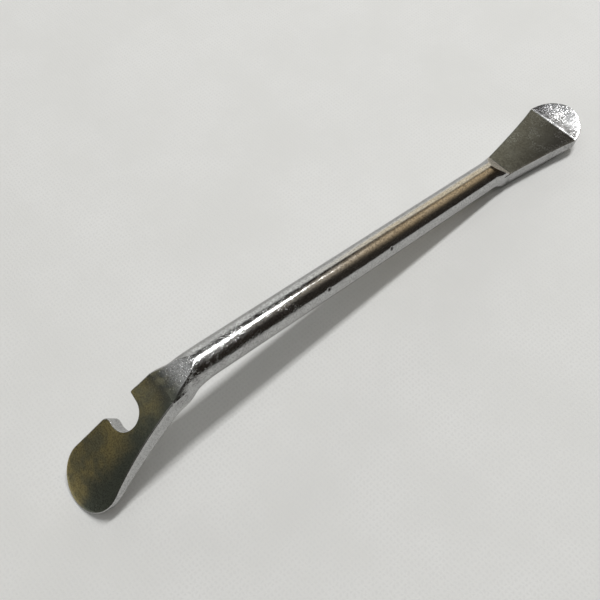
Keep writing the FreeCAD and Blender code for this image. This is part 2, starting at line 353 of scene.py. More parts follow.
def circle_ring():
    """Directions (Y, up) of the bar's ring of nodes, as (top, left strip, bottom, right strip)."""
    step = 2 * math.pi / ROUND
    top = (np.arange(ACROSS + 1) - ACROSS / 2) * step
    strip = (ACROSS / 2 + 1 + np.arange(DOWN)) * step
    angles = (top, strip, math.pi - top, -strip)
    return [np.stack([np.sin(a), np.cos(a)], axis=1) for a in angles]


def bar_section(station):
    """The bar's ring of nodes, square to its axis at a station."""
    centre = np.array([station, 0, axis_height(station)])
    up = np.array([math.sin(TILT), 0, math.cos(TILT)])
    side = np.array([0, 1, 0])
    return [
        centre + BAR_RADIUS * (part[:, :1] * side + part[:, 1:] * up) for part in circle_ring()
    ]


def add_neck(shell, first, rows, brow, point, facet, side_share, fading):
    """Rows of nodes from a blade's last row to the seam, under a facet that cuts their top.

    point(part, index, share) is the uncut neck, share running from 0 at the blade to 1 at the
    seam.  facet(station) is the facet's height.  brow is the blade's last top row.  fading is how
    much of the facet's rough forged finish is gone by its far edge.
    """

    def cut(index):
        low, high = 0.0, 1.0
        for _ in range(30):
            middle = (low + high) / 2
            place = point(0, index, middle)
            if place[2] > facet(place[0]):
                low = middle
            else:
                high = middle
        return max(high, LEAST_CUT)

    cuts = [cut(j) for j in range(ACROSS + 1)]
    brink = np.array([point(0, j, cuts[j]) for j in range(ACROSS + 1)])
    depths = ease(0, 1, np.arange(DOWN) / (DOWN - 1))
    levels = {1: mix(cuts[0], side_share, depths), 2: np.full(ACROSS + 1, side_share)}
    levels[3] = levels[1]
    finish = 1 - fading * ease(0.3, 1, np.arange(FACET_ROWS) / FACET_ROWS)
    shell.forged[first : first + FACET_ROWS] = finish[:, None]
    for k in range(rows):
        row = first + k
        facet_share = (k + 1) / FACET_ROWS
        neck_share = (k + 1 - FACET_ROWS) / (rows - FACET_ROWS)
        on_facet = k < FACET_ROWS
        if on_facet:
            shell.top[row] = mix(brow, brink, facet_share)
            shell.top[row, :, 2] = facet(shell.top[row, :, 0])
        else:
            shell.top[row] = [point(0, j, mix(cuts[j], 1, neck_share)) for j in range(ACROSS + 1)]
        rings = {}
        for part, level in levels.items():
            shares = level * facet_share if on_facet else mix(level, 1, neck_share)
            rings[part] = np.array([point(part, n, share) for n, share in enumerate(shares)])
        shell.bottom[row] = rings[2]
        shell.path.append((row, ACROSS))
        shell.strips.append(rings[1])
        shell.path.insert(0, (row, 0))
        shell.strips.insert(0, rings[3])


# ---------------------------------------------------------------- hook blade

# Along the blade's slope (u), across it (v), and square to it (t).
SLOPE_ALONG = np.array([math.cos(BLADE_SLOPE), 0, math.sin(BLADE_SLOPE)])
SLOPE_UP = np.array([-math.sin(BLADE_SLOPE), 0, math.cos(BLADE_SLOPE)])
ROOT_U = HOOK_ROOT_STATION / math.cos(BLADE_SLOPE)
BELLY_T = (BELLY_HEIGHT - HOOK_ROOT_TOP) / math.cos(BLADE_SLOPE)


def from_slope(points):
    """From (u, v, t) to stations."""
    points = np.asarray(points, float)
    across = np.array([0, 1, 0])
    return points[..., :1] * SLOPE_ALONG + points[..., 1:2] * across + points[..., 2:] * SLOPE_UP


def hook_top(u):
    share = np.asarray(u, float) / ROOT_U
    arch = 4 * share * (1 - share) * (0.7 + 0.6 * share)
    return HOOK_TIP_THICKNESS * (1 - share) + HOOK_ARCH * arch


def hook_bottom(u):
    places = [-2, 0, BEVEL_END[0], UNDERSIDE_END[0], ROOT_U]
    heights = [0, 0, BEVEL_END[1], UNDERSIDE_END[1], BELLY_T]
    spread = np.linspace(-1.2, 1.2, 9)
    u = np.asarray(u, float)[..., None] + spread
    return np.interp(u, places, heights).mean(-1)


def hook_edge():
    """The left edge from the rounded tip to the root, as (u, v)."""
    turn = math.atan(HOOK_SHOULDER_SLOPE)
    angles = np.linspace(math.radians(CORNER_TURN), math.pi / 2 + turn, 60)
    centre = HOOK_TIP_RADIUS - HOOK_TIP_OVERHANG
    tip = np.stack(
        [centre - HOOK_TIP_RADIUS * np.cos(angles), HOOK_TIP_RADIUS * np.sin(angles)], axis=1
    )
    side = hermite(tip[-1], (ROOT_U, HOOK_ROOT_HALF), -HOOK_SHOULDER_SLOPE, -HOOK_ROOT_SLOPE, 120)
    return np.concatenate([tip, side[1:]])


def notch_lines(surface):
    """The notch's lower wall, round bottom and upper wall where they meet a surface, as (u, v)."""
    difference = BLADE_SLOPE - math.radians(UNDERSIDE_ANGLE)
    lean = math.radians(NOTCH_LEAN)

    def meet(across, out):
        along_underside = NOTCH_REACH + across * math.cos(lean) + out * math.sin(lean)
        v = NOTCH_CENTRE - across * math.sin(lean) + out * math.cos(lean)
        rise = np.zeros_like(along_underside)
        for _ in range(12):
            u = along_underside * math.cos(difference) + rise * math.sin(difference)
            t = -along_underside * math.sin(difference) + rise * math.cos(difference)
            rise = rise + (surface(u) - t)
        return np.stack([u, v], axis=1)

    out = np.linspace(8, 0, 160)
    lower = meet(np.full_like(out, -NOTCH_RADIUS), out)
    upper = meet(np.full_like(out, NOTCH_RADIUS), out[::-1])
    turns = np.linspace(0, math.pi, 120)
    bottom = meet(-NOTCH_RADIUS * np.cos(turns), -NOTCH_RADIUS * np.sin(turns))
    return lower, bottom, upper


def crossing(wall, edge):
    """Index of the wall point that lies on the edge, and the place along the edge."""
    edge_v = np.interp(wall[:, 0], edge[:, 0], edge[:, 1])
    index = int(np.argmin(np.abs(wall[:, 1] - edge_v)))
    return index, wall[index, 0]


def rounded(first, second, reach):
    """Two polylines that meet in a corner, joined by a curve that starts reach before it."""
    corner = first[-1]
    keep_first = first[np.linalg.norm(first - corner, axis=1) > reach]
    keep_second = second[np.linalg.norm(second - corner, axis=1) > reach]
    t = np.linspace(0, 1, 24)[:, None]
    start, stop = keep_first[-1], keep_second[0]
    curve = (1 - t) ** 2 * start + 2 * t * (1 - t) * corner + t**2 * stop
    half = len(curve) // 2
    return (
        np.concatenate([keep_first, curve[1 : half + 1]]),
        np.concatenate([curve[half:-1], keep_second]),
    )


TIP_ROWS = 46
NOTCH_ROWS = 30
UPPER_ROWS = 16
NOTCH_DEPTH = 12
NECK_ROWS = 46
BLADE_ROWS = TIP_ROWS + NOTCH_ROWS + UPPER_ROWS + 1


def crowded(count, at_start, at_end):
    """Fractions from 0 to 1 in count steps, closer together at the ends asked for."""
    t = np.linspace(0, 1, count + 1)
    even = t.copy()
    if at_start and at_end:
        even = (1 - np.cos(math.pi * t)) / 2
    elif at_start:
        even = t**1.6
    elif at_end:
        even = 1 - (1 - t) ** 1.6
    return mix(t, even, 0.7)


def hook_outline(surface):
    """The blade's outline on a surface: four runs of (u, v) nodes, as the grid's sides."""
    edge = hook_edge()
    lower, bottom, upper = notch_lines(surface)
    low_index, low_u = crossing(lower, edge)
    up_index, up_u = crossing(upper, edge)
    before = edge[edge[:, 0] < low_u - 0.05]
    before = np.concatenate([before, lower[low_index : low_index + 1]])
    after = np.concatenate([upper[up_index : up_index + 1], edge[edge[:, 0] > up_u + 0.05]])
    before, lower = rounded(before, lower[low_index:], NOTCH_LOWER_CORNER)
    upper, after = rounded(upper[: up_index + 1], after, NOTCH_UPPER_CORNER)
    tip_turns = np.radians(np.linspace(-CORNER_TURN, CORNER_TURN, ACROSS + 1))
    tip = np.stack(
        [
            HOOK_TIP_RADIUS - HOOK_TIP_OVERHANG - HOOK_TIP_RADIUS * np.cos(tip_turns),
            HOOK_TIP_RADIUS * np.sin(tip_turns),
        ],
        axis=1,
    )
    right = edge * np.array([1, -1])
    rows = np.arange(BLADE_ROWS)
    slot_end = TIP_ROWS + NOTCH_ROWS
    length_at = np.interp(rows, [0, TIP_ROWS, slot_end, BLADE_ROWS - 1], [0, 0.55, 0.80, 1.0])
    return {
        "tip": tip,
        "right": along(right, length_at),
        "before": along(before, crowded(TIP_ROWS, False, True)),
        "lower": along(lower, crowded(NOTCH_DEPTH, True, False)),
        "bottom": along(bottom, np.linspace(0, 1, NOTCH_ROWS + 1)),
        "upper": along(upper, crowded(NOTCH_DEPTH, False, True)),
        "after": along(after, crowded(UPPER_ROWS, True, False)),
    }


def hook_path():
    """The grid nodes of the blade's rim, from the root down the right edge and round."""
    last = BLADE_ROWS - 1
    foot = ACROSS - NOTCH_DEPTH
    slot_end = TIP_ROWS + NOTCH_ROWS
    path = [(i, 0) for i in range(last, 0, -1)]
    path += [(0, j) for j in range(ACROSS + 1)]
    path += [(i, ACROSS) for i in range(1, TIP_ROWS + 1)]
    path += [(TIP_ROWS, j) for j in range(ACROSS - 1, foot - 1, -1)]
    path += [(i, foot) for i in range(TIP_ROWS + 1, slot_end + 1)]
    path += [(slot_end, j) for j in range(foot + 1, ACROSS + 1)]
    path += [(i, ACROSS) for i in range(slot_end + 1, last + 1)]
    return path


def on_path(outline):
    """The outline's (u, v) nodes in the order of hook_path."""
    return np.concatenate(
        [
            outline["right"][:0:-1],
            outline["tip"],
            outline["before"][1:],
            outline["lower"][1:],
            outline["bottom"][1:],
            outline["upper"][1:],
            outline["after"][1:],
        ]
    )


def left_normals(points):
    """Unit normals to the left of a run of points in a plane."""
    ahead = np.gradient(points, axis=0)
    return unit(np.stack([-ahead[:, 1], ahead[:, 0]], axis=1))


def edge_rounding(u, v):
    """Top and bottom rounding of the hook blade's edge: fuller to the neck, least at the notch."""
    (u_low, u_high), (v_low, v_high) = NOTCH_ZONE
    in_notch = (u > u_low) & (u < u_high) & (v > v_low) & (v < v_high)
    top = TOP_ROUNDING + TOP_ROUNDING_GAIN * ease(8, 26, u)
    bottom = BOTTOM_ROUNDING + BOTTOM_ROUNDING_GAIN * ease(6, ROOT_U, u)
    return [np.where(in_notch, LEAST_ROUNDING, radii) for radii in (top, bottom)]


def make_hook_blade():
    rows = BLADE_ROWS + NECK_ROWS
    shell = Shell(rows)
    path = hook_path()
    rims = {}
    for side, surface in (("top", hook_top), ("bottom", hook_bottom)):
        flat = on_path(hook_outline(surface))
        # The hook's rim is walked clockwise, so the metal is on its right.
        inward = -left_normals(flat)
        height = surface(flat[:, 0])
        slope = (surface(flat[:, 0] + 0.2) - surface(flat[:, 0] - 0.2)) / 0.4
        lifted = np.stack([inward[:, 0], inward[:, 1], slope * inward[:, 0]], axis=1)
        rims[side] = (np.column_stack([flat, height]), unit(lifted))
    tops, in_tops = rims["top"]
    bottoms, in_bottoms = rims["bottom"]
    over, under = edge_rounding(tops[:, 0], tops[:, 1])
    up = unit(tops - bottoms)
    for k, node in enumerate(path):
        shell.rim(node, tops[k], bottoms[k], in_tops[k], in_bottoms[k], up[k], over[k], under[k])

    last = BLADE_ROWS - 1
    fixed = np.zeros((BLADE_ROWS, ACROSS + 1), bool)
    for node in path:
        fixed[node] = True
    fixed[last] = True
    foot = ACROSS - NOTCH_DEPTH
    slot_end = TIP_ROWS + NOTCH_ROWS
    hollow = np.zeros_like(fixed)
    hollow[TIP_ROWS + 1 : slot_end, foot + 1 :] = True
    for grid, surface in ((shell.top, hook_top), (shell.bottom, hook_bottom)):
        blade = grid[:BLADE_ROWS]
        share = np.linspace(0, 1, ACROSS + 1)[:, None]
        blade[last] = mix(blade[last, 0], blade[last, ACROSS], share)
        flat = blade[..., :2].copy()
        flat = relax(first_guess(flat, fixed | hollow), fixed | hollow)
        heights = surface(flat[..., 0])
        inner = ~(fixed | hollow)
        blade[..., :2] = flat
        blade[..., 2][inner] = heights[inner]
        blade[last, 1:-1, 2] = blade[last, 0, 2]
    shell.gone[TIP_ROWS:slot_end, foot:] = True

    shell.top[:BLADE_ROWS] = from_slope(shell.top[:BLADE_ROWS])
    shell.bottom[:BLADE_ROWS] = from_slope(shell.bottom[:BLADE_ROWS])
    shell.strips = [from_slope(strip) for strip in shell.strips]

    # The neck: the root's section, under a dome, turns and rounds until it is the bar's.  The
    # facet that carries on from the blade's top cuts the dome off.
    root = [shell.top[last], shell.strips[-1], shell.bottom[last], shell.strips[0]]
    slope_up = SLOPE_UP[[0, 2]]
    root_top = np.array([HOOK_ROOT_STATION, HOOK_ROOT_TOP])
    root_low = root_top + BELLY_T * slope_up
    dome_top = root_top + HOOK_DOME * slope_up
    lean = np.array([math.sin(TILT), math.cos(TILT)])
    seam_centre = np.array([HOOK_SEAM, axis_height(HOOK_SEAM)])
    reach = BAR_RADIUS / math.cos(TILT)
    crest_point = (HOOK_CREST, axis_height(HOOK_CREST) + reach)
    dip_point = (HOOK_DIP, axis_height(HOOK_DIP) - reach)
    crown = hermite(dome_top, crest_point, HOOK_CROWN_SLOPE, -FALL, 60)
    belly = hermite(root_low, dip_point, HOOK_BELLY_SLOPE, -FALL, 40)
    crown = np.concatenate([crown, (seam_centre + BAR_RADIUS * lean)[None]])
    belly = np.concatenate([belly, (seam_centre - BAR_RADIUS * lean)[None]])
    half_height = (HOOK_DOME - BELLY_T) / 2
    middle = (dome_top + root_low) / 2
    local = [
        np.stack([part[:, 1], (part[:, [0, 2]] - middle) @ slope_up / half_height], axis=1)
        for part in root
    ]
    brow = local[0][:, 0] / local[0][-1, 0]
    local[0][:, 1] += np.sqrt(np.clip(1 - brow**2, 0, 1)) * HOOK_DOME / half_height
    for part in local:
        part[:, 0] /= HOOK_ROOT_HALF
    circle = circle_ring()

    def neck_point(part, index, share):
        top = along(crown, [share])[0]
        low = along(belly, [share])[0]
        upright = (top - low) / 2
        station = top[0]
        width = mix(HOOK_ROOT_HALF, HOOK_BEND_HALF, float(ease(*NECK_NARROWS, station)))
        width = mix(width, BAR_RADIUS, float(ease(*NECK_WIDENS, station)))
        fast = float(ease(*NECK_TOP_TURNS, station))
        slow = float(ease(*NECK_BOTTOM_TURNS, station))
        depth = (0, index / (DOWN - 1), 1, index / (DOWN - 1))[part]
        y, rise = mix(local[part][index], circle[part][index], mix(fast, slow, depth))
        x, z = (top + low) / 2 + rise * upright
        return np.array([x, y * width, z])

    turn_height = HOOK_ROOT_TOP + (FACET_TURN - HOOK_ROOT_STATION) * FACET_SLOPE
    end_height = axis_height(FACET_END) + reach
    turning = hermite((FACET_TURN, turn_height), (FACET_END, end_height), FACET_SLOPE, -FALL, 60)

    def facet(station):
        flat = HOOK_ROOT_TOP + (station - HOOK_ROOT_STATION) * FACET_SLOPE
        return np.where(station < FACET_TURN, flat, np.interp(station, *turning.T))

    brow = shell.top[last].copy()
    finish = {"side_share": 0.1, "fading": 1.0}
    add_neck(shell, BLADE_ROWS, NECK_ROWS, brow, neck_point, facet, **finish)
    shell.bare_from = BLADE_ROWS
    vertices, faces, loop, masks = shell.faces()
    return *close_end(vertices, faces, loop), masks


# ---------------------------------------------------------------- bar


def dent(vertices, centre, radius, depth):
    """Presses a round hollow into the bar; returns how deep each vertex is in it, 0 to 1."""
    station = vertices[:, 0]
    spine = np.stack([station, np.zeros(len(vertices)), axis_height(station)], axis=1)
    distance = np.linalg.norm(vertices - centre, axis=1)
    share = np.clip(1 - (distance / radius) ** 2, 0, 1) ** 2
    vertices -= unit(vertices - spine) * (share * depth)[:, None]
    return share


def on_bar(station, angle):
    """A point on the bar's surface, angle in degrees from its top towards +Y."""
    turn = math.radians(angle)
    across = BAR_RADIUS * math.sin(turn)
    rise = BAR_RADIUS * math.cos(turn)
    height = axis_height(station) + rise * math.cos(TILT)
    return np.array([station + rise * math.sin(TILT), across, height])


def make_shank():
    stations = np.linspace(HOOK_SEAM, SPOON_SEAM, 331)
    rings = []
    for station in stations:
        top, left, bottom, right = bar_section(station)
        rings += [top, left, bottom[::-1], right[::-1]]
    vertices = np.concatenate(rings)
    grime = np.zeros(len(vertices))
    for station, angle in NICKS:
        share = dent(vertices, on_bar(station, angle), NICK_RADIUS, NICK_DEPTH)
        grime = np.maximum(grime, np.clip(share * 2.0, 0, 1))
    chance = random.Random(DING_SEED)
    for _ in range(DINGS):
        station = chance.uniform(HOOK_SEAM + 4, SPOON_SEAM - 4)
        place = on_bar(station, chance.uniform(-100, 100))
        dent(vertices, place, chance.uniform(1.0, 2.6), chance.uniform(0.01, 0.03))
    faces = []
    for i in range(len(stations) - 1):
        for k in range(ROUND):
            after = (k + 1) % ROUND
            faces.append(
                [i * ROUND + k, i * ROUND + after, (i + 1) * ROUND + after, (i + 1) * ROUND + k]
            )
    first = list(range(ROUND))
    last = [k + (len(stations) - 1) * ROUND for k in range(ROUND)]
    vertices, faces = close_end(vertices, faces, first)
    vertices, faces = close_end(vertices, faces, last)
    return vertices, faces, {"grime": grime}


# ---------------------------------------------------------------- spoon blade

LIP_ROWS = 22
FACE_ROWS = 54
STEP_NECK_ROWS = 42
LIP_LENGTH = LEVER_LENGTH - CREASE_STATION


def spoon_bottom(x):
    at_crease = SPOON_HEIGHT - CREASE_THICKNESS
    at_tip = SPOON_HEIGHT + LIP_RISE - LIP_THICKNESS
    spread = np.linspace(-1.5, 1.5, 9)
    x = np.asarray(x, float)[..., None] + spread
    places = [FOOT_STATION, HEEL_END + 1.5, CREASE_STATION, LEVER_LENGTH, LEVER_LENGTH + 2]
    slope = (at_tip - at_crease) / LIP_LENGTH
    return np.interp(x, places, [0, 0, at_crease, at_tip, at_tip + 2 * slope]).mean(-1)


def lip_top(x):
    share = np.clip((np.asarray(x, float) - CREASE_STATION) / LIP_LENGTH, 0, 1.2)
    ridge = CREASE_RIDGE * ease(0, 0.05, share) * (1 - 0.75 * ease(0.05, 0.4, share))
    return SPOON_HEIGHT + LIP_RISE * share - 4 * LIP_SAG * share * (1 - share) + ridge


def lip_circle():
    radius = (SPOON_HALF**2 + LIP_LENGTH**2) / (2 * LIP_LENGTH)
    return LEVER_LENGTH - radius, radius


def spoon_edge():
    """The left edge from the lip's corner node to the foot of the step, as (x, y)."""
    centre, radius = lip_circle()
    foot = (FOOT_STATION, SPOON_FOOT_HALF)
    side = hermite(foot, SPOON_SHOULDER, SPOON_FOOT_SLOPE, SPOON_SHOULDER_SLOPE, 120)
    turns = np.radians(np.linspace(CORNER_TURN, 86, 40))
    arc = np.stack([centre + radius * np.cos(turns), radius * np.sin(turns)], axis=1)
    joined = np.concatenate([arc, side[::-1]])
    smooth = along(joined, np.linspace(0, 1, 400))
    for _ in range(60):
        smooth[1:-1] = (smooth[:-2] + smooth[2:] + 2 * smooth[1:-1]) / 4
    return smooth


def step_plane(x):
    bar_top = axis_height(STEP_TOP_STATION) + BAR_RADIUS / math.cos(TILT)
    slope = (bar_top - SPOON_HEIGHT) / (STEP_TOP_STATION - FOOT_STATION)
    return SPOON_HEIGHT + (x - FOOT_STATION) * slope


def make_spoon_blade():
    rows = LIP_ROWS + FACE_ROWS + STEP_NECK_ROWS + 1
    shell = Shell(rows)
    centre, radius = lip_circle()
    edge = spoon_edge()
    length = np.concatenate([[0], np.cumsum(np.linalg.norm(np.diff(edge, axis=0), axis=1))])
    crease_at = np.interp(-CREASE_STATION, -edge[:, 0], length)
    foot_row = LIP_ROWS + FACE_ROWS
    lip_side = np.linspace(0, crease_at, LIP_ROWS + 1)
    face_side = np.linspace(crease_at, length[-1], FACE_ROWS + 1)[1:]
    places = np.concatenate([lip_side, face_side])
    left = np.stack([np.interp(places, length, edge[:, k]) for k in (0, 1)], axis=1)
    turns = np.radians(np.linspace(-CORNER_TURN, CORNER_TURN, ACROSS + 1))
    tip = np.stack([centre + radius * np.cos(turns), radius * np.sin(turns)], axis=1)
    path = [(i, 0) for i in range(foot_row, 0, -1)]
    path += [(0, j) for j in range(ACROSS + 1)]
    path += [(i, ACROSS) for i in range(1, foot_row + 1)]
    right = left * np.array([1, -1])
    flat = np.concatenate([right[:0:-1], tip, left[1:]])
    inward = left_normals(flat)
    slope = (lip_top(flat[:, 0] + 0.1) - lip_top(flat[:, 0] - 0.1)) / 0.2
    slope = np.where(flat[:, 0] < CREASE_STATION + 0.3, 0.0, slope)
    under_slope = (spoon_bottom(flat[:, 0] + 0.1) - spoon_bottom(flat[:, 0] - 0.1)) / 0.2
    tops = np.column_stack([flat, lip_top(flat[:, 0])])
    lows = np.column_stack([flat, spoon_bottom(flat[:, 0])])
    in_tops = unit(np.column_stack([inward, slope * inward[:, 0]]))
    in_lows = unit(np.column_stack([inward, under_slope * inward[:, 0]]))
    up = np.array([0.0, 0.0, 1.0])
    for k, node in enumerate(path):
        thickness = tops[k, 2] - lows[k, 2]
        under = min(SPOON_BOTTOM_ROUNDING, 0.35 * thickness)
        shell.rim(node, tops[k], lows[k], in_tops[k], in_lows[k], up, LEAST_ROUNDING, under)

    share = np.linspace(0, 1, ACROSS + 1)[:, None]
    for grid, surface in ((shell.top, lip_top), (shell.bottom, spoon_bottom)):
        for i in range(LIP_ROWS, foot_row + 1):
            grid[i] = mix(grid[i, 0], grid[i, ACROSS], share)
        grid[LIP_ROWS, :, 0] = grid[LIP_ROWS, 0, 0]
        lip = grid[: LIP_ROWS + 1]
        fixed = np.zeros(lip.shape[:2], bool)
        fixed[[0, LIP_ROWS]] = True
        fixed[:, [0, ACROSS]] = True
        plane = relax(first_guess(lip[..., :2].copy(), fixed), fixed)
        inner = ~fixed
        lip[..., :2] = plane
        lip[..., 2][inner] = surface(plane[..., 0])[inner]

    # The neck: the foot's section, under a dome, turns into the bar's.  The step cuts it off.
    uncut = [
        shell.top[foot_row].copy(),
        shell.strips[-1],
        shell.bottom[foot_row],
        shell.strips[0],
    ]
    brow = uncut[0][:, 1] / uncut[0][-1, 1]
    uncut[0][:, 2] += (2 * BAR_RADIUS - SPOON_HEIGHT) * np.sqrt(np.clip(1 - brow**2, 0, 1))
    circle = circle_ring()

    def neck_point(part, index, share):
        station = mix(FOOT_STATION, SPOON_SEAM, share)
        blend = float(ease(SPOON_SEAM + 3.5, FOOT_STATION, station))
        y, rise = circle[part][index] * BAR_RADIUS
        tilt = TILT * share
        x, z = station + rise * math.sin(tilt), axis_height(station) + rise * math.cos(tilt)
        target = uncut[part][index] + np.array([station - FOOT_STATION, 0, 0])
        return mix(np.array([x, y, z]), target, blend)

    brow = shell.top[foot_row].copy()
    finish = {"side_share": 0.2, "fading": 0.0}
    add_neck(shell, foot_row + 1, STEP_NECK_ROWS, brow, neck_point, step_plane, **finish)
    shell.bare_from = foot_row + 1
    shell.wear[LIP_ROWS - 1] = 1.0
    vertices, faces, loop, masks = shell.faces()
    return *close_end(vertices, faces, loop), masks


# ---------------------------------------------------------------- materials


def map_range(tree, value, low, high, to_low=0.0, to_high=1.0):
    """A smooth step from to_low, where the value is low, to to_high, where it is high."""
    node = tree.nodes.new("ShaderNodeMapRange")
    node.interpolation_type = "SMOOTHSTEP"
    settings = (("From Min", low), ("From Max", high), ("To Min", to_low), ("To Max", to_high))
    for key, number in settings:
        node.inputs[key].default_value = number
    tree.links.new(value, node.inputs["Value"])
    return node.outputs["Result"]


def math_node(tree, operation, *values):
    node = tree.nodes.new("ShaderNodeMath")
    node.operation = operation
    for socket, value in zip(node.inputs, values):
        if isinstance(value, (int, float)):
            socket.default_value = value
        else:
            tree.links.new(value, socket)
    return node.outputs[0]


def times(tree, *values):
    """The product of the values."""
    product = values[0]
    for value in values[1:]:
        product = math_node(tree, "MULTIPLY", product, value)
    return product


def blend_colour(tree, factor, low, high):
    """A colour that goes from low, where the factor is 0, to high, where it is 1."""
    node = tree.nodes.new("ShaderNodeMix")
    node.data_type = "RGBA"
    tree.links.new(factor, node.inputs[0])
    for socket, value in ((node.inputs[6], low), (node.inputs[7], high)):
        if isinstance(value, tuple):
            socket.default_value = (*value, 1)
        else:
            tree.links.new(value, socket)
    return node.outputs[2]


def noise(tree, place, scale, detail=3.0, seed=0.0):
    """A noise factor; scale is in features per metre."""
    node = tree.nodes.new("ShaderNodeTexNoise")
    node.noise_dimensions = "4D"
    for key, number in (("Scale", scale), ("Detail", detail), ("W", seed), ("Roughness", 0.6)):
        node.inputs[key].default_value = number
    tree.links.new(place, node.inputs["Vector"])
    return node.outputs[0]


def bump(tree, height, depth, strength, normal=None):
    node = tree.nodes.new("ShaderNodeBump")
    node.inputs["Strength"].default_value = strength
    node.inputs["Distance"].default_value = depth
    tree.links.new(height, node.inputs["Height"])
    if normal is not None:
        tree.links.new(normal, node.inputs["Normal"])
    return node.outputs["Normal"]


def mesh_mask(tree, name):
    node = tree.nodes.new("ShaderNodeAttribute")
    node.attribute_name = name
    return node.outputs["Fac"]


EDGE_TINT = (0.74, 0.74, 0.74, 1)
BRIGHT = (0.545, 0.545, 0.542)
WORN = (0.70, 0.69, 0.66)
GRIME = (0.020, 0.018, 0.014)
PIT = (0.055, 0.052, 0.045)
OLIVE = (0.50, 0.41, 0.18)
SCALE_BLACK = (0.07, 0.075, 0.065)
BEIGE = (0.60, 0.55, 0.47)
# painted dark green reflection on the right of the hook blade
BLADE_PAINTED_DARK_REFLECTION = (0.15, 0.165, 0.13)
# painted warm brown reflection on the bar's top
BAR_PAINTED_WARM_REFLECTION = (0.58, 0.50, 0.38)
FACE_OLIVE = (0.36, 0.37, 0.31)
# painted dark reflection on the right of the spoon's flat face
FACE_PAINTED_DARK_REFLECTION = (0.085, 0.088, 0.085)
# painted dark reflection on the left of the spoon's lip
LIP_PAINTED_DARK_REFLECTION = (0.22, 0.22, 0.23)
DULL_OLIVE = (0.31, 0.29, 0.18)
CLOTH_SHADE = (0.775, 0.775, 0.755)
CLOTH_LIGHT = (0.82, 0.82, 0.805)
CLOTH_GAP = (0.775, 0.775, 0.76)

# Noise in the plating, in features per metre, and how deep it presses in, in metres.
CLOUD_SCALE = 140
PATCH_SCALE = 220
MOTTLE_SCALE = 1300
GRAIN_SCALE = 2400
CLOUD_DEPTH = 0.0002
MOTTLE_DEPTH = 0.00009
GRAIN_DEPTH = 0.00003
PIT_DEPTH = 0.00008


def plated_steel(name, tint_and_painted_reflection, pitting, relief):
    """Plated steel.

    tarnish gives the plating's colour, with the reflections painted into it, and how much of it
    is oxide, pitting how much of it is pitted, and relief how deep its unevenness is.
    """
    material = bpy.data.materials.new(name)
    material.use_nodes = True
    tree = material.node_tree
    shader = tree.nodes["Principled BSDF"]
    place = tree.nodes.new("ShaderNodeTexCoord").outputs["Object"]
    split = tree.nodes.new("ShaderNodeSeparateXYZ")
    tree.links.new(place, split.inputs[0])
    x, y = split.outputs[0], split.outputs[1]

    cloud = noise(tree, place, CLOUD_SCALE, 4, 1.0)
    mottle = noise(tree, place, MOTTLE_SCALE, 4, 2.0)
    grain = noise(tree, place, GRAIN_SCALE, 2, 3.0)
    patches = map_range(tree, noise(tree, place, PATCH_SCALE, 4, 4.0), 0.40, 0.62)
    forged = mesh_mask(tree, "forged")
    grime = mesh_mask(tree, "grime")
    pitted = times(tree, patches, pitting(tree, x))
    pitted = math_node(tree, "MAXIMUM", pitted, times(tree, forged, 0.45))
    pits = times(tree, map_range(tree, grain, 0.52, 0.66), pitted)
    hollows = times(tree, map_range(tree, mottle, 0.56, 0.70), pitted)
    pits = math_node(tree, "MAXIMUM", pits, hollows)

    colour, oxide = tint_and_painted_reflection(tree, x, y, cloud)
    speckle = map_range(tree, grain, 0.38, 0.58, 0.55, 1.0)
    colour = blend_colour(tree, speckle, PIT, colour)
    worn = times(tree, mesh_mask(tree, "edge_wear"), map_range(tree, mottle, 0.40, 0.58))
    colour = blend_colour(tree, worn, colour, WORN)
    colour = blend_colour(tree, times(tree, pits, 0.85), colour, PIT)
    colour = blend_colour(tree, grime, colour, GRIME)
    tree.links.new(colour, shader.inputs["Base Color"])

    smooth = map_range(tree, cloud, 0.3, 0.7, 0.09, 0.17)
    roughness = math_node(tree, "ADD", smooth, times(tree, pits, 0.30))
    roughness = math_node(tree, "ADD", roughness, times(tree, forged, 0.06))
    tree.links.new(roughness, shader.inputs["Roughness"])
    shader.inputs["Specular Tint"].default_value = EDGE_TINT
    dull = math_node(tree, "MAXIMUM", oxide, grime)
    tree.links.new(math_node(tree, "SUBTRACT", 1.0, dull), shader.inputs["Metallic"])

    depth = math_node(tree, "ADD", relief(tree, x), times(tree, forged, 0.7))
    normal = bump(tree, times(tree, cloud, depth), CLOUD_DEPTH, 0.12)
    normal = bump(tree, times(tree, mottle, depth), MOTTLE_DEPTH, 0.8, normal)
    fine = times(tree, grain, math_node(tree, "ADD", depth, 0.1))
    normal = bump(tree, fine, GRAIN_DEPTH, 0.8, normal)
    hollow = times(tree, pits, times(tree, depth, -1.0))
    normal = bump(tree, hollow, PIT_DEPTH, 0.9, normal)
    tree.links.new(normal, shader.inputs["Normal"])
    return material


def station_range(tree, x, low, high, to_low=0.0, to_high=1.0):
    """map_range between two stations of the lever."""
    start, stop = (low + lever_zero) * MM, (high + lever_zero) * MM
    return map_range(tree, x, start, stop, to_low, to_high)


